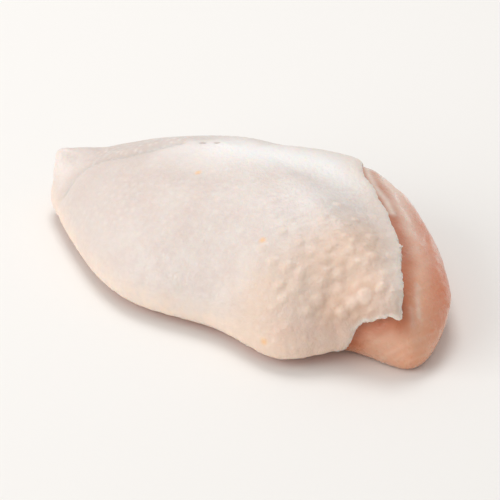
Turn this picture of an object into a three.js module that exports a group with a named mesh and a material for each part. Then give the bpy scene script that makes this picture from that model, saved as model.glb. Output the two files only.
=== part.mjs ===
// A raw skin-on chicken breast, boneless, lying flesh side down with its skin up.
// Two solids: the flesh, one plump muscle with a flat underside, and the skin, a thin coat that
// hugs it over the top and round the sides and stops short at the right end, where flesh shows.
// Millimetres. X runs along the breast, Y away from the near long side, Z up. The breast rests
// on Z = 0 and its bounding box is centred on the Z axis.
import * as THREE from "three";
import { mergeVertices } from "three/addons/utils/BufferGeometryUtils.js";

// ---- driving dimensions -------------------------------------------------------------------
const LENGTH = 165; // of the flesh: its sides are placed as shares of half of this
const WIDTH = 89; // the same for its breadth
const HEIGHT = 37.5; // of the flesh, floor to crown
const SKIN_THICKNESS = 1.6;
const SKIN_GAP = 0.3; // between skin and flesh, so that the two solids stay apart

// The crown of the flesh, as shares of the half length and half width from the centre.
const CROWN = { along: -0.06, across: 0.2 };

// What the flesh is like at each of its sides, going round anticlockwise from the right corner
// in even turns.
// along, across: where its widest level stands, as shares of the half length and half width.
// belly: height of that widest level. plump: how far the top stays level before it falls away.
// steep: how upright the side is. tuck: how far the side rolls in below the widest level.
const SIDES = [
  { along: 1.03, across: -0.47, belly: 7, plump: 2.8, steep: 2.0, tuck: 5 }, // right corner
  { along: 0.99, across: 0.04, belly: 12, plump: 2.05, steep: 1.6, tuck: 7 }, // right end
  { along: 0.82, across: 0.46, belly: 12, plump: 2.35, steep: 1.7, tuck: 8 },
  { along: 0.54, across: 0.88, belly: 11, plump: 3.2, steep: 2.3, tuck: 10 },
  { along: 0.12, across: 1.0, belly: 9, plump: 2.0, steep: 1.3, tuck: 11 }, // far side
  { along: -0.4, across: 0.78, belly: 9, plump: 1.9, steep: 1.2, tuck: 11 },
  { along: -0.83, across: 0.26, belly: 8, plump: 1.9, steep: 0.95, tuck: 8 }, // behind the flap
  { along: -0.92, across: -0.2, belly: 9, plump: 2.5, steep: 1.05, tuck: 8 }, // left end
  { along: -0.78, across: -0.5, belly: 8, plump: 2.1, steep: 1.55, tuck: 8 },
  { along: -0.24, across: -1.03, belly: 7.5, plump: 2.1, steep: 1.6, tuck: 9 },
  { along: 0.24, across: -0.95, belly: 7.5, plump: 2.2, steep: 1.7, tuck: 9 }, // near side
  { along: 0.57, across: -0.98, belly: 7.5, plump: 2.3, steep: 1.7, tuck: 8 },
  { along: 0.78, across: -0.63, belly: 12, plump: 2.6, steep: 1.9, tuck: 11 }, // raised hollow
];

// Folds of the upper surface, each along a line seen from above, with how far the surface
// rises (or sinks) at each point of that line. They die away down the sides.
const FOLDS_FADE = { from: 0.85, gone: 1.15 }; // reach, as in SKIN_EDGE
const FOLDS = [
  {
    width: 5.5, // flap that stands up behind the left end
    line: [
      { x: -74.5, y: -5.5, rise: 10.8 },
      { x: -66, y: 2, rise: 4.5 },
      { x: -55, y: 7, rise: 3 },
      { x: -35, y: 13, rise: 1.8 },
      { x: -15, y: 18, rise: 0 },
    ],
  },
  {
    width: 5.5, // crease in front of the flap
    line: [
      { x: -76, y: -17, rise: -1 },
      { x: -66, y: -8, rise: -1.8 },
      { x: -51, y: -2, rise: -1.2 },
      { x: -33, y: 3, rise: 0 },
    ],
  },
  {
    width: 3, // pleat that runs in from the inner bend of the skin's edge
    line: [
      { x: 60, y: -30, rise: 0.8 },
      { x: 64, y: -24, rise: 1.7 },
      { x: 71, y: -18, rise: 1.1 },
    ],
  },
  {
    width: 4, // hollow beside the pleat, towards the near side
    line: [
      { x: 53, y: -31, rise: -0.8 },
      { x: 59, y: -22, rise: -0.9 },
    ],
  },
  {
    width: 6, // dimple left of the crown
    line: [
      { x: -17, y: -10, rise: -1.5 },
      { x: -11, y: -8, rise: -1.5 },
    ],
  },
  {
    width: 5, // bundle of muscle on the bare right end
    line: [
      { x: 62, y: 16, rise: 0 },
      { x: 71, y: 3, rise: 1.1 },
      { x: 80, y: -11, rise: 1.1 },
    ],
  },
];

// Where the skin stops: at each turn round the breast, how far down it reaches.
// 0 is the crown, 1 the widest level, 1.5 the floor. It leaves the right end bare.
const SKIN_EDGE = [
  { turn: 0.0, reach: 0.735 },
  { turn: 0.02, reach: 0.665 },
  { turn: 0.06, reach: 0.59 },
  { turn: 0.09, reach: 0.53 },
  { turn: 0.125, reach: 0.49 },
  { turn: 0.17, reach: 0.465 },
  { turn: 0.195, reach: 0.415 }, // closest to the crown
  { turn: 0.225, reach: 0.44 },
  { turn: 0.25, reach: 0.49 },
  { turn: 0.3, reach: 0.85 },
  { turn: 0.36, reach: 1.17 },
  { turn: 0.5, reach: 1.185 },
  { turn: 0.9, reach: 1.185 },
  { turn: 0.918, reach: 1.17 },
  { turn: 0.931, reach: 0.94 },
  { turn: 0.942, reach: 0.88 }, // inner bend
  { turn: 0.98, reach: 0.79 },
  { turn: 0.991, reach: 0.8 }, // corner that hangs free
  { turn: 1.0, reach: 0.735 },
];
const EDGE_WAVES = [
  { count: 17, depth: 0.006 },
  { count: 23, depth: 0.004 },
];

// How far the skin stands off the flesh beyond its gap, drawn like FOLDS.
const LIFTS = [
  {
    width: 5, // hanging corner at the right end
    line: [
      { x: 64, y: -26, rise: 0.9 },
      { x: 74, y: -20, rise: 2 },
      { x: 76, y: -11, rise: 0.6 },
    ],
  },
  {
    width: 7, // bridging the crease in front of the flap
    line: [
      { x: -74, y: -12, rise: 0.5 },
      { x: -64, y: -6, rise: 0.5 },
    ],
  },
];

// Blisters of the skin, scattered round one spot near the right end and dying away from it: one
// in each cell of a grid, off the cell's middle by a share of the pitch.
const BLISTERS = { x: 59, y: -22, spread: 25, pitch: 5.8, offset: 0.3, radius: 3.7, height: 1.2 };

// ---- helpers --------------------------------------------------------------------------------
const { lerp, clamp, smoothstep } = THREE.MathUtils;
const steps = (count, make) => Array.from({ length: count }, (_, i) => make(i));
const wrapped = (turn) => ((turn % 1) + 1) % 1;

// A smooth curve through four values a, b, c, d, from b at f = 0 to c at f = 1.
function catmullRom(a, b, c, d, f) {
  const out = (c - a) / 2;
  const into = (d - b) / 2;
  return b + f * (out + f * (3 * (c - b) - 2 * out - into + f * (2 * (b - c) + out + into)));
}

// The value of one key of SIDES at turn 0 to 1 round the breast.
function around(key, turn) {
  const n = SIDES.length;
  const place = wrapped(turn) * n;
  const i = Math.floor(place);
  const [a, b, c, d] = [-1, 0, 1, 2].map((k) => SIDES[(i + k + n) % n][key]);
  return catmullRom(a, b, c, d, place - i);
}

function skinEdge(turn) {
  const t = wrapped(turn);
  const i = SKIN_EDGE.findIndex((e) => e.turn > t) - 1;
  const [from, to] = [SKIN_EDGE[i], SKIN_EDGE[i + 1]];
  const reach = lerp(from.reach, to.reach, smoothstep(t, from.turn, to.turn));
  return EDGE_WAVES.reduce((r, w) => r + w.depth * Math.sin(2 * Math.PI * w.count * t), reach);
}

// How far the folds of a list move the surface at a place seen from above.
function foldedBy(folds, x, y) {
  let total = 0;
  for (const { width, line } of folds) {
    let strongest = 0;
    for (let i = 0; i + 1 < line.length; i++) {
      const [from, to] = [line[i], line[i + 1]];
      const [dx, dy] = [to.x - from.x, to.y - from.y];
      const f = clamp(((x - from.x) * dx + (y - from.y) * dy) / (dx * dx + dy * dy), 0, 1);
      const away = Math.hypot(x - from.x - f * dx, y - from.y - f * dy) / width;
      const rise = lerp(from.rise, to.rise, f) * Math.exp(-away * away);
      if (Math.abs(rise) > Math.abs(strongest)) strongest = rise;
    }
    total += strongest;
  }
  return total;
}

// A repeatable scattered number from 0 to 1 for a cell of a grid.
function scattered(i, j, kind) {
  const s = Math.sin(i * 12.9898 + j * 78.233 + kind * 37.719) * 43758.5453;
  return s - Math.floor(s);
}

// Height of the blisters at a place seen from above.
function blistered(x, y) {
  const { pitch, offset, radius, height, spread } = BLISTERS;
  const [column, row] = [Math.round(x / pitch), Math.round(y / pitch)];
  let top = 0;
  for (let i = column - 1; i <= column + 1; i++) {
    for (let j = row - 1; j <= row + 1; j++) {
      const cx = (i + lerp(-offset, offset, scattered(i, j, 1))) * pitch;
      const cy = (j + lerp(-offset, offset, scattered(i, j, 2))) * pitch;
      const broad = radius * lerp(0.7, 1.1, scattered(i, j, 3));
      const zone = Math.exp(-((cx - BLISTERS.x) ** 2 + (cy - BLISTERS.y) ** 2) / spread ** 2);
      const tall = height * zone * lerp(0.5, 1, scattered(i, j, 4));
      const away = Math.hypot(x - cx, y - cy) / broad;
      if (away < 1) top = Math.max(top, tall * (1 - away * away) ** 2);
    }
  }
  return top;
}

// ---- surfaces -------------------------------------------------------------------------------
// A point on the flesh. reach is 0 at the crown, 1 at the widest level, 1.5 where it meets the
// floor and 2 in the middle of the underside.
function fleshPoint(turn, reach) {
  const rimX = (around("along", turn) * LENGTH) / 2;
  const rimY = (around("across", turn) * WIDTH) / 2;
  const belly = around("belly", turn);
  const crownX = (CROWN.along * LENGTH) / 2;
  const crownY = (CROWN.across * WIDTH) / 2;
  const tuck = around("tuck", turn) / Math.hypot(rimX - crownX, rimY - crownY);
  let share; // of the way from the crown's axis to the widest level
  let z;
  if (reach <= 1) {
    share = Math.sin((reach * Math.PI) / 2);
    const fall = share ** around("plump", turn);
    z = belly + (HEIGHT - belly) * (1 - fall) ** (1 / around("steep", turn));
  } else if (reach < 1.5) {
    const roll = (reach - 1) * Math.PI;
    share = 1 - tuck * (1 - Math.cos(roll));
    z = belly * (1 - Math.sin(roll));
  } else {
    share = (1 - tuck) * (2 - reach) * 2;
    z = 0;
  }
  const point = new THREE.Vector3(lerp(crownX, rimX, share), lerp(crownY, rimY, share), z);
  const kept = 1 - smoothstep(reach, FOLDS_FADE.from, FOLDS_FADE.gone);
  point.z += kept * foldedBy(FOLDS, point.x, point.y);
  return point;
}

// The direction that the flesh faces at a point, from its neighbours on the surface. At the crown
// itself the neighbours run together, and it faces up.
function fleshNormal(turn, reach) {
  const d = 0.006;
  if (reach < d) return new THREE.Vector3(0, 0, 1);
  const across = fleshPoint(turn + d, reach).sub(fleshPoint(turn - d, reach));
  const down = fleshPoint(turn, reach + d).sub(fleshPoint(turn, reach - d));
  return down.cross(across).normalize();
}

// A point of the skin, on its inside or, by its thickness further out, on its outside.
function skinPoint(turn, reach, outside) {
  const point = fleshPoint(turn, reach);
  let height = SKIN_GAP + foldedBy(LIFTS, point.x, point.y);
  if (outside) height += SKIN_THICKNESS + blistered(point.x, point.y);
  return point.addScaledVector(fleshNormal(turn, reach), height);
}

// A closed body from rings of points, each ring going round once, closed at both ends by a pole.
// Cells that have shrunk to nothing, where the skin has stopped, are left out.
function bodyOf(firstPole, rings, lastPole) {
  const count = rings[0].length;
  const points = [firstPole, ...rings.flat(), lastPole];
  const at = (ring, spoke) => 1 + ring * count + (spoke % count);
  const last = points.length - 1;
  const index = [];
  for (let spoke = 0; spoke < count; spoke++) {
    index.push(0, at(0, spoke), at(0, spoke + 1));
    for (let ring = 0; ring + 1 < rings.length; ring++) {
      const [a, b] = [at(ring, spoke), at(ring, spoke + 1)];
      const [c, d] = [at(ring + 1, spoke), at(ring + 1, spoke + 1)];
      index.push(a, c, b, b, c, d);
    }
    index.push(last, at(rings.length - 1, spoke + 1), at(rings.length - 1, spoke));
  }
  const open = new THREE.BufferGeometry().setFromPoints(points).setIndex(index);
  const merged = mergeVertices(open);
  const corners = merged.index.array;
  const kept = [];
  for (let i = 0; i < corners.length; i += 3) {
    const [a, b, c] = [corners[i], corners[i + 1], corners[i + 2]];
    if (a !== b && b !== c && c !== a) kept.push(a, b, c);
  }
  merged.setIndex(kept);
  merged.computeVertexNormals();
  return merged;
}

// ---- the two solids ---------------------------------------------------------------------------
const SPOKES = 96;
const BUSY_TURN = 0.95; // spokes stand closer together round this turn, where the blisters are
const BUNCHING = 0.06;
const TUCKED_REACH = 1.2; // as far down as the skin ever comes
const RINGS_UNDER_SKIN = 18; // from the crown to TUCKED_REACH, on the flesh and the skin's inside
const RINGS_OVER_SKIN = 2 * RINGS_UNDER_SKIN; // the same on the skin's outside
const RINGS_BELOW = 5; // flesh rings from TUCKED_REACH to the middle of the underside

const turns = steps(SPOKES, (i) => {
  const even = i / SPOKES;
  return even - BUNCHING * Math.sin(2 * Math.PI * (even - BUSY_TURN));
});

function makeFlesh() {
  const covered = steps(RINGS_UNDER_SKIN, (r) =>
    turns.map((t) => fleshPoint(t, (TUCKED_REACH * (r + 1)) / RINGS_UNDER_SKIN)),
  );
  const below = steps(RINGS_BELOW, (r) =>
    turns.map((t) => fleshPoint(t, lerp(TUCKED_REACH, 2, (r + 1) / (RINGS_BELOW + 1)))),
  );
  return bodyOf(fleshPoint(0, 0), [...covered, ...below], fleshPoint(0, 2));
}

// A ring of the skin stays at its own reach until the skin stops, and beyond that lies on its edge.
function skinRing(share, outside) {
  return turns.map((t) => skinPoint(t, Math.min(TUCKED_REACH * share, skinEdge(t)), outside));
}

function makeSkin() {
  const over = steps(RINGS_OVER_SKIN, (r) => skinRing((r + 1) / RINGS_OVER_SKIN, true));
  const under = steps(RINGS_UNDER_SKIN, (r) => skinRing(1 - r / RINGS_UNDER_SKIN, false));
  return bodyOf(skinPoint(0, 0, true), [...over, ...under], skinPoint(0, 0, false));
}

function named(name, geometry, look) {
  const mesh = new THREE.Mesh(geometry, new THREE.MeshStandardMaterial(look));
  mesh.name = name;
  return mesh;
}

const breast = new THREE.Group();
breast.add(
  named("flesh", makeFlesh(), { color: 0xd79b83, roughness: 0.35, metalness: 0 }),
  named("skin", makeSkin(), { color: 0xead9cf, roughness: 0.45, metalness: 0 }),
);

const box = new THREE.Box3().setFromObject(breast);
const middle = box.getCenter(new THREE.Vector3());
breast.position.set(-middle.x, -middle.y, 0);

export default breast;
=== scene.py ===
"""A raw skin-on chicken breast, boneless, lying flesh side down.

Two soft pieces stand for the part's two plain solids: the skin, and the flesh that shows at its
right end and underneath. Each starts as a copy of its solid, is remeshed fine and even, and is
then shaped by moving its surface in and out. Places and sizes in the tables are millimetres in
the part's own frame: X along the breast towards the bare end, Y away from the near side, Z up.
"""

import math

import bpy
import numpy as np
from mathutils import Matrix, Vector, kdtree, noise
from mathutils.bvhtree import BVHTree


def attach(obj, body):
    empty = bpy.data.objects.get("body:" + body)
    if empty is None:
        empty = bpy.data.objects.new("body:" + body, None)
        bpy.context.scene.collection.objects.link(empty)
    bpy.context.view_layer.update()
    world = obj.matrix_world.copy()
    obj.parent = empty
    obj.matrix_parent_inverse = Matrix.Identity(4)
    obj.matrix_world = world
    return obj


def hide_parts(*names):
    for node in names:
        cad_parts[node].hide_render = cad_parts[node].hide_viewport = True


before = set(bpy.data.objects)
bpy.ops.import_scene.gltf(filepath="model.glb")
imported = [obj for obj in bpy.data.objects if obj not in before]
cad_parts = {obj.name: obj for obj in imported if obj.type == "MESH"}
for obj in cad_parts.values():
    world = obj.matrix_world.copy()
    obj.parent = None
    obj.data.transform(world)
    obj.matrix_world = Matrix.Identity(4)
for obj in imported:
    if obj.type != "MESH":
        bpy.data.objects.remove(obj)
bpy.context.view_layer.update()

MM = 0.001

# ---- the fine meshes ---------------------------------------------------------------------------
SKIN_GRAIN = 0.67  # size of the mesh's cells, which keeps the skin under 200,000 triangles
FLESH_GRAIN = 0.8
SAME_POINT = 0.01  # points of the solid closer than this are one
SMOOTHING = {"factor": 0.5, "iterations": 4}

# ---- the skin's edge ---------------------------------------------------------------------------
EDGE_ON = 0.45  # a face of the cut edge looks out or in by less than this share
# The skin thins towards its edge over a width, and has lost this much thickness at the edge.
RIM_TAPER = {"over": 3.0, "thin": 0.7}
# A gap under the edge closes wholly up to the first width, and stays as it is from the second.
SEATED = {"whole": 0.9, "none": 1.8}

# Where the skin is pulled: place, radius and pull. The first four are its hanging corner, the
# small barb further up its edge, and two at the flap's corner. The last draws up the edge beside
# the hanging corner.
PULLED_FREE = [
    ((75.4, -20.8, 22.0), 3.4, (1.4, 0.0, -1.2)),
    ((58.2, 4.3, 29.2), 1.3, (1.2, 0.7, -0.5)),
    ((-78.0, -9.0, 19.5), 9.0, (-2.0, -0.8, 0.5)),
    ((-77.5, -7.5, 22.0), 4.5, (-1.3, -0.4, 1.2)),
    ((69.0, -25.7, 20.0), 3.6, (-0.5, 0.8, 1.4)),
]
# Between the hanging corner and the barb, the edge has slid back over the flesh.
SLID_STRETCH = {"start": (61, 1, 29.3), "end": (75, -18, 25), "radius": 10.0}
SLID_BY = (-1.4, -0.9, 0)

# ---- bumps -------------------------------------------------------------------------------------
# The skin over the bare end's near side is gathered into rows of bumps, the tallest at the pleat
# above the inner bend of the skin's edge. Each row: its bumps' places, their breadth and height.
BUMP_ROWS = [
    ([(58, -29, 20), (60, -26, 23), (63, -24, 26), (67, -20, 28)], 6.0, 0.85),
    ([(49, -35, 20), (50, -31, 22), (53, -25, 24), (58, -22, 27), (64, -14, 30)], 5.3, 0.62),
    ([(39, -39, 20), (40, -36, 22), (42, -32, 25), (48, -27, 26), (51, -21, 28)], 4.9, 0.55),
    ([(55, -16, 31), (58, -11, 33), (52, -4, 34), (60, -6, 31)], 4.8, 0.62),
    ([(37, -34, 25), (36, -29, 29), (41, -28, 28), (45, -20, 31), (50, -14, 33)], 4.8, 0.56),
    ([(30, -29, 29), (34, -20, 33), (40, -19, 32), (45, -11, 35), (42, 0, 35)], 4.8, 0.56),
    ([(24, -27, 31), (26, -19, 34), (35, -9, 37), (34, 2, 37), (44, 8, 33)], 4.8, 0.5),
]
# How the bumps of a row vary, how their outlines wander, and how much longer they are along it.
ROW_UNEVEN = {"place": 0.4, "breadth": (0.8, 1.15), "height": (0.65, 1.1)}
ROW_WANDER = {"by": 0.5, "over": 4}
ROW_STRETCH = 0.12
BUMP_POINTEDNESS = 1.3

# Smaller bumps scattered over the skin: how far apart, how broad and how high.
LUMPS = {"spacing": 5.0, "breadth": 4.2, "height": 0.4}
BLISTERS = {"spacing": 3.2, "breadth": 3.4, "height": 0.28}
PIMPLES = {"spacing": 2.7, "breadth": 2.5, "height": 0.11}
SPECKS = {"spacing": 2.1, "breadth": 1.8, "height": 0.14}
SCATTER_UNEVEN = {"breadth": (0.75, 1.2), "height": (0.4, 1.0)}
TOO_FAINT = 0.02  # no bump is placed where its mask is below this

# ---- zones of the skin, seen from above: a middle and a radius, or a line and a width ----------
BLISTERED = ((52, -17), 27)
LUMPY = ((50, -6), 27)
LOBE = ([(44, -43), (52, -39), (58, -32)], 7)
# The strip behind the crest at the left end: partly grey speckled skin, partly painted shade of the
# hollow between flap and body.
THIN_STRIP = ([(-62, -2), (-50, -1), (-40, 4), (-30, 9)], 7)
# A pale band along the crest, with a pale patch beside it: partly the skin's white fat, partly a
# painted highlight where the crest faces the light.
PALE_RIDGE = ([(-34, 4), (-10, 9), (14, 18), (28, 20)], 9)
PALE_PATCH = ((22, 2), 13)
SAGGING = ((-8, -40), 28)
# Painted warm light bounced up from below, as a peach patch low on the near side.
PEACH = ((34, -42), 12)
# Painted light: the flap's thin corner is tinted paler, as if lit.
FLAP_CORNER = ((-77, -9), 7)
# The groove between the flap at the left end and the body.
GROOVE = ([(-69, -19), (-67, -13), (-64, -10), (-58, -8), (-50, -7), (-42, -3), (-34, 3)], 2.2)
GROOVE_DEPTH = 1.4
NICKS = [[(-26.6, 4.6), (-25.2, 5.2)], [(-22.0, 6.9), (-21.1, 7.6)]]  # at the crest behind the flap
NICK_WIDTH = 0.45

# ---- the skin's pleat, fat spots, wrinkles and relief ------------------------------------------
PLEAT = {"start": (56, -30, 19), "end": (67, -21, 27), "radius": 10}
# The small spots of fat: their places and breadths.
FAT_SPOTS = [((-17.4, -8.1, 35.8), 3.0), ((38.5, -44.6, 9.2), 3.4), ((22.7, -24.7, 32.0), 3.2)]
WRINKLES_ROUND = (66.0, -27.0, 20.0)  # fine wrinkles curve round the pleat's foot
WRINKLES = {"width": 1.7, "length": 13}
# The soft sags of the near side, which lie square to the direction "across".
SAGS = {"across": (0.44, 0.5, 0.74), "width": 2.4, "length": 12}
# How high or deep each kind of relief goes.
SKIN_RELIEF = {"rolling": 0.15, "wrinkles": 0.2, "sags": 0.06, "grain": 0.05, "nicks": 0.3}

# ---- the flesh ---------------------------------------------------------------------------------
SKIN_WITHIN = 5.0  # flesh with skin this close above it is covered
DRAWN_IN = {"place": (44.0, 31.0, 27.0), "breadth": 44.0}  # the back of the bare end
DRAWN_IN_BY = 1.9
# The bare end's strands follow circles round a centre, wider by "lean" for each millimetre up.
# A turn about the centre is measured as a length at "radius".
STRANDS_ROUND = {"centre": (-8, 8), "lean": 0.9, "radius": 75}
STRANDS = {"width": 1.8, "length": 24}
BUNDLES = {"width": 7, "length": 55}
STRANDS_UNDERNEATH = {"across": (0, 1, 0), "width": 1.9, "length": 26}
MEMBRANE = ([(24, 31), (28, 27), (33, 23.5), (39, 21.5), (44, 18)], 1.4)
# Narrow raised streaks on the bare end; their pale tint is a painted highlight, a glint on the wet
# surface.
WET_STREAKS = [[(70.8, -5.2), (73.3, -9.2), (77.3, -13.8)], [(74.8, -14.5), (77.3, -17.2)]]
STREAK_WIDTH = 1.0
FLESH_RELIEF = {"bundles": 0.35, "strands": 0.07, "membrane": 0.35, "streaks": 0.25}
FAT_RUN = [(48, 27), (74, -15)]  # the fat thins out from the first place to the second
# Painted sheen: a greyish tint low on the front of the bare end, below the hanging corner, stands
# in for a moist reflection.
LOW_FRONT = ((70, -25), 9)

# ---- finishes: each tint's mask, how much of it shows, and its colour from 0 to 255 ------------
# The two base colours lie in large soft patches. Paler, finer patches lie over both.
SKIN_BASE = [(214, 199, 191), (218, 206, 198)]
SKIN_FINE = {"share": 0.2, "colour": (233, 223, 215)}
SKIN_TINTS = [
    # Painted shade: the left third of the skin is darkened where the key light falls strongly.
    ("left_third", 0.5, (204, 189, 181)),
    # Partly the crest's white fat, partly a painted highlight.
    ("pale_ridge", 0.9, (243, 239, 236)),
    # Painted shade in the valleys of the fine wrinkles.
    ("creases", 0.15, (212, 190, 178)),
    # Grey strip: partly speckled skin, partly painted shade in the hollow.
    ("thin_strip", 0.8, (202, 188, 180)),
    # Painted shade in the groove between the flap and the body.
    ("groove", 0.3, (196, 178, 168)),
    # Paler speck tops: partly the skin's own pale specks, partly painted glints.
    ("specks", 0.6, (236, 228, 221)),
    ("blistered", 0.9, (217, 187, 165)),
    # Painted warm bounce light low on the near side.
    ("peach", 0.5, (220, 190, 164)),
    ("pleat", 0.6, (204, 164, 136)),
    # Paler tops of the bumps and pimples: partly the skin's own paler colour, partly a painted
    # highlight on each.
    ("tops", 0.55, (234, 213, 196)),
    ("pimple_tops", 0.25, (236, 226, 218)),
    ("lobe", 0.7, (222, 190, 170)),
    ("margin", 0.8, (236, 221, 210)),
    # Painted light on the flap's corner.
    ("flap_corner", 0.5, (246, 236, 229)),
]
# A warm tint low down, in patches: partly yellowish fat, partly painted warm light bounced up from
# below.
SKIN_YELLOW = {"share": 0.85, "colour": (241, 218, 198)}  # in patches, low down
SKIN_LAST_TINTS = [
    ("rim", 0.75, (238, 228, 218)),
    ("fat_spots", 0.8, (240, 188, 130)),
    ("nicks", 0.7, (160, 130, 116)),
]
SKIN_PATCHES = {"base": 11.0, "fine": 2.0, "yellow": 6.0}  # how large the patches are
SKIN_FILM = {"Patch_Size": 5.0, "Damp": 0.6, "Wet": 0.42, "Film": 0.14, "Grain_Size": 1.3}
SKIN_LOOK = {
    "Coat Roughness": 0.25,
    "Subsurface Weight": 0.4,
    "Subsurface Radius": (1.0, 0.55, 0.35),
    "Subsurface Scale": 2.0 * MM,
}

FLESH_BASE = [(226, 166, 132), (228, 175, 143)]
FLESH_TINTS = [
    ("foot", 0.45, (216, 138, 92)),
    ("fat_cap", 1.0, (236, 205, 187)),
    # The outer side of the bare end: partly deeper orange flesh, partly painted shade.
    ("outer_side", 0.8, (208, 105, 46)),
    # Painted sheen, greyish, low on the front.
    ("low_front", 0.6, (202, 165, 143)),
    # Paler strand ridges: partly the strands' own paler colour, partly painted highlight streaks.
    ("strand_tops", 0.18, (226, 192, 170)),
    # Painted highlight streaks.
    ("wet_streaks", 0.6, (232, 208, 190)),
    # Darker flesh beside the skin's edge: partly deeper colour, partly painted shade under the
    # edge.
    ("beside_skin", 0.8, (180, 90, 42)),
    ("membrane", 0.7, (238, 226, 214)),
]
FLESH_PATCHES = 12.0
FLESH_FILM = {"Patch_Size": 4.0, "Damp": 0.42, "Wet": 0.22, "Film": 0.5, "Grain_Size": 2.2}
FLESH_LOOK = {
    "Coat Roughness": 0.12,
    "Subsurface Weight": 0.4,
    "Subsurface Radius": (1.0, 0.4, 0.25),
    "Subsurface Scale": 4.0 * MM,
}
BUMP = {"Strength": 0.3, "Distance": 0.3 * MM}  # the finest relief, of skin and flesh alike

# ---- studio: the photograph's standpoint, with a longer lens turned to the breast --------------
CAMERA_PLACE = Vector((494.1, -630.1, 502.4)) * MM
CAMERA_LOOK = Vector((-0.52622, 0.66844, -0.52563))
CAMERA_ROLL = math.radians(-0.49)
CAMERA_LENS = 199.0  # on a sensor 36 mm wide
LIGHTS = [  # name, place and size in metres, power in watts
    ("key", (-0.3, 0.3, 1.1), 0.5, 5.0),
    ("fill", (-0.6, -1.0, 0.45), 1.2, 10.0),
]
WORLD_STRENGTH = 0.58
FLOOR_SIZE = 4.0  # metres
PAPER_COLOUR = (240, 237, 233)
PAPER_ROUGHNESS = 0.8


# ---- reading and shaping a piece ---------------------------------------------------------------
def points_of(piece):
    """Where the piece's points are, in millimetres."""
    flat = np.empty(len(piece.data.vertices) * 3, np.float32)
    piece.data.vertices.foreach_get("co", flat)
    return flat.reshape(-1, 3).astype(float) / MM


def facing_of(piece):
    """Which way the surface faces at each point."""
    flat = np.empty(len(piece.data.vertices) * 3, np.float32)
    piece.data.vertex_normals.foreach_get("vector", flat)
    return flat.reshape(-1, 3).astype(float)


def place_points(piece, points):
    piece.data.vertices.foreach_set("co", (points * MM).astype(np.float32).ravel())
    piece.data.update()


def active(piece):
    bpy.ops.object.select_all(action="DESELECT")
    piece.select_set(True)
    bpy.context.view_layer.objects.active = piece


def finish_with(piece, kind, **settings):
    """Adds a modifier and applies it."""
    modifier = piece.modifiers.new(kind.title(), kind)
    for name, value in settings.items():
        setattr(modifier, name, value)
    active(piece)
    bpy.ops.object.modifier_apply(modifier=modifier.name)


def fine_copy(node, name, grain):
    """A copy of a solid as one smooth piece with an even, fine mesh."""
    piece = bpy.data.objects.new(name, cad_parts[node].data.copy())
    bpy.context.collection.objects.link(piece)
    piece.data.materials.clear()
    active(piece)
    bpy.ops.object.mode_set(mode="EDIT")
    bpy.ops.mesh.select_all(action="SELECT")
    bpy.ops.mesh.remove_doubles(threshold=SAME_POINT * MM)
    bpy.ops.mesh.tris_convert_to_quads(
        face_threshold=math.radians(50), shape_threshold=math.radians(80)
    )
    bpy.ops.object.mode_set(mode="OBJECT")
    finish_with(piece, "SUBSURF", levels=2, render_levels=2)
    finish_with(piece, "REMESH", mode="VOXEL", voxel_size=grain * MM, use_smooth_shade=True)
    finish_with(piece, "SMOOTH", **SMOOTHING)
    return piece


def push(piece, heights):
    """Moves the surface in or out by a height for each point, in millimetres."""
    for sign in (1, -1):
        amounts = np.clip(heights * sign, 0, None)
        most = amounts.max()
        if most == 0:
            continue
        group = piece.vertex_groups.new(name="push")
        for i in np.flatnonzero(amounts):
            group.add((int(i),), amounts[i] / most, "REPLACE")
        strength = sign * most * MM
        finish_with(piece, "DISPLACE", vertex_group="push", strength=strength, mid_level=0.0)
        piece.vertex_groups.remove(piece.vertex_groups["push"])


def pulled(points, outward):
    """The points, drawn along near each pull as between finger and thumb."""
    moved = points.copy()
    for place, radius, pull in PULLED_FREE:
        moved += dome(points, place, 2 * radius)[:, None] * np.array(pull)
    slide = np.array(SLID_BY)
    along_surface = slide - (outward @ slide)[:, None] * outward
    return moved + swell(points, **SLID_STRETCH)[:, None] * along_surface


def keep_masks(piece, **masks):
    """Stores masks, values from 0 to 1 at each point, which the material reads by name."""
    for name, values in masks.items():
        layer = piece.data.attributes.new(name, "FLOAT", "POINT")
        layer.data.foreach_set("value", np.clip(values, 0, 1).astype(np.float32))


# ---- fields: a value at each point -------------------------------------------------------------
def fade(values, start, end):
    """0 at start and 1 at end, smoothly."""
    share = np.clip((values - start) / (end - start), 0, 1)
    return share * share * (3 - 2 * share)


def dome(points, place, breadth):
    """A round bump: 1 at its place, 0 outside its breadth."""
    away = np.linalg.norm(points - np.array(place), axis=1) / (breadth / 2)
    return np.clip(1 - away * away, 0, 1) ** 1.5


def swell(points, start, end, radius):
    """A long bump: 1 on a straight stretch, 0 outside its radius."""
    start, run = np.array(start, float), np.array(end, float) - np.array(start, float)
    share = np.clip(((points - start) @ run) / (run @ run), 0, 1)
    away = np.linalg.norm(points - start - share[:, None] * run, axis=1) / radius
    return np.clip(1 - away * away, 0, 1) ** 1.5


def near(points, middle, radius):
    """1 at a place seen from above, dying away over a radius."""
    away = np.linalg.norm(points[:, :2] - np.array(middle), axis=1)
    return np.exp(-((away / radius) ** 2))


def along(points, line, width):
    """1 on a line seen from above, dying away over a width."""
    closest = np.full(len(points), np.inf)
    for start, end in zip(line, line[1:]):
        start, end = np.array(start, float), np.array(end, float)
        run = end - start
        share = np.clip(((points[:, :2] - start) @ run) / (run @ run), 0, 1)
        away = np.linalg.norm(points[:, :2] - start - share[:, None] * run, axis=1)
        closest = np.minimum(closest, away)
    return np.exp(-((closest / width) ** 2))


def cloudy(points, size, seed):
    """Soft noise, about -1 to 1, with features of a size. Each seed reads a place of its own."""
    scaled = points / size + seed * 7.31
    return np.array([noise.fractal(Vector(p), 1.0, 2.0, 2) for p in scaled])


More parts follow.
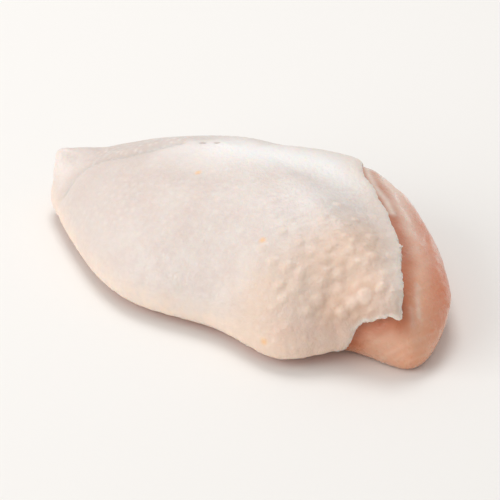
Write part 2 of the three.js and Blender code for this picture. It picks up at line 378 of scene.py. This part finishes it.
def streaky(points, across, width, length, seed):
    """Soft noise drawn out into streaks of a width and length that lie square to a direction."""
    across = np.array(across) / np.linalg.norm(across)
    over = points @ across
    rest = points - over[:, None] * across
    return cloudy(rest / length + (over / width)[:, None] * across, size=1.0, seed=seed)


def wrinkled(points, centre, width, length, seed):
    """Soft streaks that curve round a centre."""
    away = points - np.array(centre)
    reach = np.linalg.norm(away, axis=1)
    turn = np.arctan2(away[:, 1], away[:, 0]) * 0.5 * reach.max()
    return streaky(np.stack([reach, turn, 0 * turn], axis=1), (1, 0, 0), width, length, seed)


def scattered(points, where, spacing, chance):
    """Places picked at random among the points where a mask shows, none too close to another."""
    cells = {}
    picked = []
    for i in chance.permutation(np.flatnonzero(where > TOO_FAINT)):
        cell = tuple((points[i] // spacing).astype(int))
        around = [
            other
            for dx in (-1, 0, 1)
            for dy in (-1, 0, 1)
            for dz in (-1, 0, 1)
            for other in cells.get((cell[0] + dx, cell[1] + dy, cell[2] + dz), ())
        ]
        if all(np.sum((points[i] - points[other]) ** 2) > spacing**2 for other in around):
            cells.setdefault(cell, []).append(i)
            picked.append(i)
    return points[picked]


def scattered_domes(points, where, size, seed):
    """Heights of round bumps of uneven size, scattered where a mask shows and as high as it is."""
    chance = np.random.default_rng(seed)
    places = scattered(points, where, size["spacing"], chance)
    tree = tree_of(places)
    broad = size["breadth"] * chance.uniform(*SCATTER_UNEVEN["breadth"], len(places))
    tall = size["height"] * chance.uniform(*SCATTER_UNEVEN["height"], len(places))
    heights = np.zeros(len(points))
    for i in np.flatnonzero(where > 0):
        for _, k, away in tree.find_n(points[i], 2):
            inside = 1 - (2 * away / broad[k]) ** 2
            if inside > 0:
                heights[i] = max(heights[i], tall[k] * inside)
    return heights * where


def gathered_bumps(points, seed):
    """Heights of the rows of bumps. Cubes are summed, so that bumps that meet run together."""
    chance = np.random.default_rng(seed)
    size = ROW_WANDER["over"]
    wander = np.stack([cloudy(points, size, seed=seed + k) for k in range(3)], axis=1)
    wandering = points + ROW_WANDER["by"] * wander
    total = np.zeros(len(points))
    for places, breadth, height in BUMP_ROWS:
        row = np.array(places[-1], float) - np.array(places[0], float)
        row /= np.linalg.norm(row)
        for place in places:
            place = np.array(place) + chance.uniform(-1, 1, 3) * ROW_UNEVEN["place"]
            broad = breadth * chance.uniform(*ROW_UNEVEN["breadth"])
            tall = height * chance.uniform(*ROW_UNEVEN["height"])
            away = wandering - place
            away = away - ROW_STRETCH * (away @ row)[:, None] * row
            inside = np.clip(1 - (2 / broad) ** 2 * np.sum(away**2, axis=1), 0, 1)
            total += (tall * inside**BUMP_POINTEDNESS) ** 3
    return np.cbrt(total)


# ---- measuring against the solids --------------------------------------------------------------
def tree_of(places):
    """The places, ready for the nearest of them to be looked up."""
    tree = kdtree.KDTree(len(places))
    for i, place in enumerate(places):
        tree.insert(place, i)
    tree.balance()
    return tree


def distance_to(points, places):
    """How far each point is from the nearest of the places."""
    tree = tree_of(places)
    return np.array([tree.find(p)[2] for p in points])


def shell_of(mesh):
    """A surface that points can be measured against."""
    return BVHTree.FromPolygons([v.co for v in mesh.vertices], [f.vertices for f in mesh.polygons])


def outward_at(points, backing):
    """Which way the flesh faces under each point."""
    return np.array([backing.find_nearest(Vector(p * MM))[1] for p in points])


def gap_under(points, backing):
    """How far each point is from the flesh, in millimetres."""
    return np.array([backing.find_nearest(Vector(p * MM))[3] for p in points]) / MM


def rim_of(node, backing):
    """Points on the cut edge of a thin solid, pulled as the piece made from it is."""
    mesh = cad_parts[node].data
    rim = []
    for face in mesh.polygons:
        outward = backing.find_nearest(face.center)[1]
        if abs(face.normal.dot(outward)) < EDGE_ON:
            rim.append(face.center.copy())
            rim.extend(mesh.vertices[v].co.copy() for v in face.vertices)
    rim = np.array(rim) / MM
    return pulled(rim, outward_at(rim, backing))


# ---- the skin ----------------------------------------------------------------------------------
def make_skin(backing, rim, material):
    skin = fine_copy("skin", "drawn_skin", SKIN_GRAIN)
    points = points_of(skin)
    place_points(skin, pulled(points, outward_at(points, backing)))

    points, facing = points_of(skin), facing_of(skin)
    x, y, z = points.T
    outward = outward_at(points, backing)
    looks_out = np.einsum("ij,ij->i", facing, outward)
    outside = fade(looks_out, 0.0, 0.5)
    edge = distance_to(points, rim)

    # The underside of the edge sits down on the flesh, except where the edge hangs free.
    gap = gap_under(points, backing)
    seated = (1 - fade(looks_out, -0.3, 0.6)) * (1 - fade(edge, 1.5, 3))
    seated *= 1 - fade(gap, SEATED["whole"], SEATED["none"])
    place_points(skin, points - (seated * gap)[:, None] * outward)
    thinning = (1 - fade(edge, 0, RIM_TAPER["over"])) * RIM_TAPER["thin"]
    push(skin, -thinning * outside)

    # Where each kind of surface lies. A fade keeps a zone to one height, side or end.
    lobe = along(points, *LOBE) * (1 - fade(z, 15, 20))
    blistered = near(points, *BLISTERED) * fade(x - 0.5 * y, 28, 54)
    blistered *= 1 - 0.8 * lobe
    lumpy = near(points, *LUMPY) * fade(x - 0.3 * y, 20, 40)
    strip = along(points, *THIN_STRIP)
    ridge = np.maximum(along(points, *PALE_RIDGE), 0.45 * near(points, *PALE_PATCH))
    groove = along(points, *GROOVE)
    nicks = np.max([along(points, line, NICK_WIDTH) for line in NICKS], axis=0)
    pimpled = fade(cloudy(points, size=25, seed=6), -0.5, 0.4)
    # The fine wrinkles fill a ring round the pleat, above the near side.
    from_pleat = np.linalg.norm(points - np.array(WRINKLES_ROUND), axis=1)
    drawn = fade(from_pleat, 16, 34) * (1 - fade(from_pleat, 50, 78)) * fade(y, -26, -12)

    bumps = gathered_bumps(points, seed=4)
    between_rows = lumpy * outside * (1 - fade(bumps, 0.02, 0.3))
    bumps = np.maximum(bumps, scattered_domes(points, between_rows, LUMPS, seed=5))
    blisters = scattered_domes(points, np.maximum(blistered, lobe), BLISTERS, seed=1)
    pimples = scattered_domes(points, outside * (1 - 0.7 * ridge), PIMPLES, seed=2)
    specks = scattered_domes(points, strip * outside, SPECKS, seed=3)
    wrinkles = wrinkled(points, WRINKLES_ROUND, **WRINKLES, seed=7) * drawn * fade(edge, 3, 12)
    sags = streaky(points, **SAGS, seed=9) * near(points, *SAGGING)

    heights = bumps + blisters * (1 - fade(bumps, 0.05, 0.4)) + specks
    heights += pimples * (0.4 + 0.6 * pimpled) * (1 - blistered)
    heights += SKIN_RELIEF["rolling"] * cloudy(points, size=17, seed=8)
    heights += SKIN_RELIEF["wrinkles"] * wrinkles + SKIN_RELIEF["sags"] * sags
    heights += SKIN_RELIEF["grain"] * cloudy(points, size=2.2, seed=10) * (0.3 + blistered)
    heights -= GROOVE_DEPTH * groove + SKIN_RELIEF["nicks"] * nicks
    push(skin, heights * outside * fade(edge, 0.3, 2.6))

    keep_masks(
        skin,
        rim=1 - fade(edge, 0.3, 2.2),
        margin=(1 - fade(edge, 1, 12)) * fade(z, 22, 28),
        pleat=swell(points, **PLEAT),
        creases=fade(-wrinkles, 0, 0.5),
        # painted shade over the left third
        left_third=1 - fade(x, -55, -5),
        peach=near(points, *PEACH),
        flap_corner=near(points, *FLAP_CORNER) * fade(z, 10, 16),
        blistered=blistered,
        tops=fade(bumps, 0.05, 0.8) + 0.6 * fade(blisters, 0.02, BLISTERS["height"]),
        pimple_tops=pimples / PIMPLES["height"] * pimpled * (1 - blistered),
        specks=specks / SPECKS["height"],
        nicks=nicks,
        lobe=lobe,
        thin_strip=strip,
        groove=groove,
        pale_ridge=ridge,
        low=1 - fade(z, 4, 16),
        fat_spots=np.max([dome(points, place, breadth) for place, breadth in FAT_SPOTS], axis=0),
    )
    skin.data.materials.append(material)
    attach(skin, "root")
    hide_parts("skin")
    return skin


# ---- the flesh ---------------------------------------------------------------------------------
def make_flesh(cover, rim, material):
    flesh = fine_copy("flesh", "breast_muscle", FLESH_GRAIN)
    points, facing = points_of(flesh), facing_of(flesh)
    x, y, z = points.T
    bare = np.ones(len(points))
    for i, (point, normal) in enumerate(zip(points, facing)):
        if cover.ray_cast(Vector(point * MM), Vector(normal), SKIN_WITHIN * MM)[0]:
            bare[i] = 0.0
    edge = distance_to(points, rim)

    # Strands run round the bare end, and along the breast underneath.
    centre_x, centre_y = STRANDS_ROUND["centre"]
    turn = np.arctan2(y - centre_y, x - centre_x) * STRANDS_ROUND["radius"]
    reach = np.hypot(x - centre_x, y - centre_y) - STRANDS_ROUND["lean"] * z
    round_end = np.stack([reach, turn, 0 * turn], axis=1)
    underneath = 1 - fade(z, 1, 6)
    strands = streaky(round_end, (1, 0, 0), **STRANDS, seed=12) * (1 - underneath)
    strands += streaky(points, **STRANDS_UNDERNEATH, seed=13) * underneath
    bundles = streaky(round_end, (1, 0, 0), **BUNDLES, seed=11)

    membrane = along(points, *MEMBRANE) * bare * fade(z, 10, 16)
    streaks = np.max([along(points, line, STREAK_WIDTH) for line in WET_STREAKS], axis=0)
    streaks *= fade(z, 8, 14)
    heights = FLESH_RELIEF["bundles"] * bundles + FLESH_RELIEF["strands"] * strands
    heights *= bare * fade(edge, 0.5, 4)
    heights += FLESH_RELIEF["membrane"] * membrane + FLESH_RELIEF["streaks"] * streaks
    heights -= DRAWN_IN_BY * dome(points, **DRAWN_IN) * bare * fade(edge, 4, 11)
    heights = np.where(z < 1.0, -np.abs(heights), heights)  # nothing reaches below the underside
    push(flesh, heights)

    start, end = np.array(FAT_RUN, float)
    down_end = (points[:, :2] - start) @ (end - start) / ((end - start) @ (end - start))
    keep_masks(
        flesh,
        # partly deeper colour, partly painted shade under the skin's edge
        beside_skin=bare * (1 - fade(edge, 1, 8)),
        fat_cap=bare * (1 - fade(down_end, -0.1, 0.95)) * fade(z, 3, 17),
        foot=1 - fade(z, 7, 18),
        membrane=membrane,
        outer_side=fade(x + 0.9 * y, 65, 79) * fade(z, 6, 15),
        low_front=near(points, *LOW_FRONT) * (1 - fade(z, 15, 19)),
        wet_streaks=streaks,
        strands=0.5 + 0.5 * strands,
        strand_tops=fade(0.5 + 0.5 * strands, 0.45, 0.9),
    )
    flesh.data.materials.append(material)
    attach(flesh, "root")
    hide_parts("flesh")


# ---- materials ---------------------------------------------------------------------------------
def srgb(levels):
    """A colour given as levels from 0 to 255, as a linear colour with alpha."""
    shares = [level / 255 for level in levels]
    linear = [c / 12.92 if c <= 0.04045 else ((c + 0.055) / 1.055) ** 2.4 for c in shares]
    return (*linear, 1.0)


class Wiring:
    """Adds nodes to a node tree and links them, so that a material reads from top to bottom."""

    def __init__(self, tree):
        self.tree = tree

    def add(self, kind, **settings):
        node = self.tree.nodes.new(kind)
        for name, value in settings.items():
            setattr(node, name, value)
        return node

    def feed(self, socket, value):
        if isinstance(value, bpy.types.NodeSocket):
            self.tree.links.new(value, socket)
        else:
            socket.default_value = value

    def place(self):
        return self.add("ShaderNodeTexCoord").outputs["Object"]

    def mask(self, name, share=1.0):
        fac = self.add("ShaderNodeAttribute", attribute_name=name).outputs["Fac"]
        return fac if share == 1.0 else self.math("MULTIPLY", fac, share)

    def math(self, how, one, other):
        node = self.add("ShaderNodeMath", operation=how)
        self.feed(node.inputs[0], one)
        self.feed(node.inputs[1], other)
        return node.outputs[0]

    def mix(self, share, one, other):
        """Colour one where share is 0, colour other where it is 1."""
        node = self.add("ShaderNodeMix", data_type="RGBA")
        # This node's colours are its inputs 6 and 7 and its output 2.
        for slot, value in ((0, share), (6, one), (7, other)):
            self.feed(node.inputs[slot], value)
        return node.outputs[2]

    def tinted(self, colour, tints):
        """A colour with tints laid over it, each where its mask is."""
        for name, share, tint in tints:
            colour = self.mix(self.mask(name, share), colour, srgb(tint))
        return colour

    def ramp(self, value, low, high, out_low=0.0, out_high=1.0):
        node = self.add("ShaderNodeMapRange", interpolation_type="SMOOTHSTEP")
        settings = (value, low, high, out_low, out_high)
        for socket, setting in zip(node.inputs, settings):
            self.feed(socket, setting)
        return node.outputs["Result"]

    def group(self, tree, **settings):
        """Places a shared node group. A setting's name is its input's, with _ for a space."""
        node = self.add("ShaderNodeGroup", node_tree=tree)
        for name, value in settings.items():
            self.feed(node.inputs[name.replace("_", " ")], value)
        return node.outputs


def new_group(name, inputs, outputs):
    """An empty shader node group: its wiring, its named inputs and its named outputs."""
    tree = bpy.data.node_groups.new(name, "ShaderNodeTree")
    tree.interface.new_socket(name="Position", in_out="INPUT", socket_type="NodeSocketVector")
    for label, value in inputs.items():
        socket = tree.interface.new_socket(
            name=label, in_out="INPUT", socket_type="NodeSocketFloat"
        )
        socket.default_value = value
    for label in outputs:
        tree.interface.new_socket(name=label, in_out="OUTPUT", socket_type="NodeSocketFloat")
    w = Wiring(tree)
    return w, w.add("NodeGroupInput").outputs, w.add("NodeGroupOutput").inputs


def patches_group():
    """Soft patches of a size in millimetres, as a mask."""
    w, given, out = new_group("patches", {"Size": 10.0, "Detail": 2.0}, ["Mask"])
    noise_field = w.add("ShaderNodeTexNoise")
    w.feed(noise_field.inputs["Vector"], given["Position"])
    w.feed(noise_field.inputs["Scale"], w.math("DIVIDE", 1 / MM, given["Size"]))
    w.feed(noise_field.inputs["Detail"], given["Detail"])
    w.feed(out["Mask"], w.ramp(noise_field.outputs["Fac"], 0.34, 0.66))
    return w.tree


def moist_film_group(patches):
    """A thin wet film that gathers in patches: smoother and with more coat where it is wet."""
    inputs = {"Patch Size": 5.0, "Damp": 0.5, "Wet": 0.3, "Film": 0.4, "Grain Size": 1.3}
    w, given, out = new_group("moist film", inputs, ["Roughness", "Coat Weight", "Height"])
    wet = w.group(patches, Position=given["Position"], Size=given["Patch Size"])["Mask"]
    w.feed(out["Roughness"], w.ramp(wet, 0.0, 1.0, given["Damp"], given["Wet"]))
    w.feed(out["Coat Weight"], w.math("MULTIPLY", given["Film"], w.ramp(wet, 0.0, 1.0, 0.4, 1.0)))
    grain = w.group(patches, Position=given["Position"], Size=given["Grain Size"], Detail=3.0)
    w.feed(out["Height"], grain["Mask"])
    return w.tree


def new_material(name):
    """An empty material: the material, its wiring and its shader."""
    material = bpy.data.materials.new(name)
    material.use_nodes = True
    return material, Wiring(material.node_tree), material.node_tree.nodes["Principled BSDF"]


def finish_surface(w, shader, colour, film, height, look):
    """Feeds the shader its colour, its moist film and a height as a bump, and sets its look."""
    w.feed(shader.inputs["Base Color"], colour)
    w.feed(shader.inputs["Roughness"], film["Roughness"])
    w.feed(shader.inputs["Coat Weight"], film["Coat Weight"])
    for name, value in look.items():
        shader.inputs[name].default_value = value
    bump = w.add("ShaderNodeBump")
    for name, value in BUMP.items():
        bump.inputs[name].default_value = value
    w.feed(bump.inputs["Height"], height)
    w.feed(shader.inputs["Normal"], bump.outputs["Normal"])


def damp_skin(patches, moist_film):
    """Pale poultry skin: cream over pink, warmer between the bumps, and warm low down, where
    yellowish fat and a painted warm bounce light lie in patches; with painted shade and highlights
    in places.
    """
    material, w, shader = new_material("damp_skin")
    place = w.place()
    base = w.group(patches, Position=place, Size=SKIN_PATCHES["base"])["Mask"]
    fine = w.group(patches, Position=place, Size=SKIN_PATCHES["fine"])["Mask"]
    fine = w.math("MULTIPLY", fine, SKIN_FINE["share"])
    yellow = w.group(patches, Position=place, Size=SKIN_PATCHES["yellow"])["Mask"]
    yellow = w.ramp(yellow, 0.0, 1.0, 0.5, 1.0)
    # yellowish fat and painted warm bounce light, low down
    yellow = w.math("MULTIPLY", w.mask("low", SKIN_YELLOW["share"]), yellow)
    colour = w.mix(base, srgb(SKIN_BASE[0]), srgb(SKIN_BASE[1]))
    colour = w.mix(fine, colour, srgb(SKIN_FINE["colour"]))
    colour = w.tinted(colour, SKIN_TINTS)
    colour = w.mix(yellow, colour, srgb(SKIN_YELLOW["colour"]))
    colour = w.tinted(colour, SKIN_LAST_TINTS)
    film = w.group(moist_film, Position=place, **SKIN_FILM)
    finish_surface(w, shader, colour, film, film["Height"], SKIN_LOOK)
    return material


def wet_flesh(patches, moist_film):
    """Raw breast muscle: pink to orange, paler where fat covers it, with a wet film, and with
    painted shade, sheen and highlights in places.
    """
    material, w, shader = new_material("wet_flesh")
    place = w.place()
    base = w.group(patches, Position=place, Size=FLESH_PATCHES)["Mask"]
    colour = w.mix(base, srgb(FLESH_BASE[0]), srgb(FLESH_BASE[1]))
    colour = w.tinted(colour, FLESH_TINTS)
    film = w.group(moist_film, Position=place, **FLESH_FILM)
    height = w.math("ADD", w.math("MULTIPLY", film["Height"], 0.5), w.mask("strands"))
    finish_surface(w, shader, colour, film, height, FLESH_LOOK)
    return material


# ---- camera, floor and lights ------------------------------------------------------------------
def set_camera():
    data = bpy.data.cameras.new("camera")
    data.lens = CAMERA_LENS
    data.sensor_width = 36.0
    camera = bpy.data.objects.new("camera", data)
    turn = CAMERA_LOOK.to_track_quat("-Z", "Y").to_matrix().to_4x4()
    roll = Matrix.Rotation(CAMERA_ROLL, 4, "Z")
    camera.matrix_world = Matrix.Translation(CAMERA_PLACE) @ turn @ roll
    bpy.context.collection.objects.link(camera)
    bpy.context.scene.camera = camera


def soft_light(name, place, size, power):
    """A square light that faces the breast."""
    data = bpy.data.lights.new(name, "AREA")
    data.size = size
    data.energy = power
    light = bpy.data.objects.new(name, data)
    light.location = place
    light.rotation_euler = (-Vector(place)).to_track_quat("-Z", "Y").to_euler()
    bpy.context.collection.objects.link(light)


def set_studio():
    bpy.ops.mesh.primitive_plane_add(size=FLOOR_SIZE)
    floor = bpy.context.active_object
    floor.name = "floor"
    paper, _, shader = new_material("pale_paper")
    shader.inputs["Base Color"].default_value = srgb(PAPER_COLOUR)
    shader.inputs["Roughness"].default_value = PAPER_ROUGHNESS
    floor.data.materials.append(paper)
    for light in LIGHTS:
        soft_light(*light)
    world = bpy.data.worlds.new("studio")
    world.use_nodes = True
    background = world.node_tree.nodes["Background"]
    background.inputs["Color"].default_value = (1, 1, 1, 1)
    background.inputs["Strength"].default_value = WORLD_STRENGTH
    bpy.context.scene.world = world
    bpy.context.scene.view_settings.view_transform = "Standard"


set_camera()
set_studio()
backing = shell_of(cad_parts["flesh"].data)
rim = rim_of("skin", backing)
patches = patches_group()
moist_film = moist_film_group(patches)
skin = make_skin(backing, rim, damp_skin(patches, moist_film))
make_flesh(shell_of(skin.data), rim, wet_flesh(patches, moist_film))
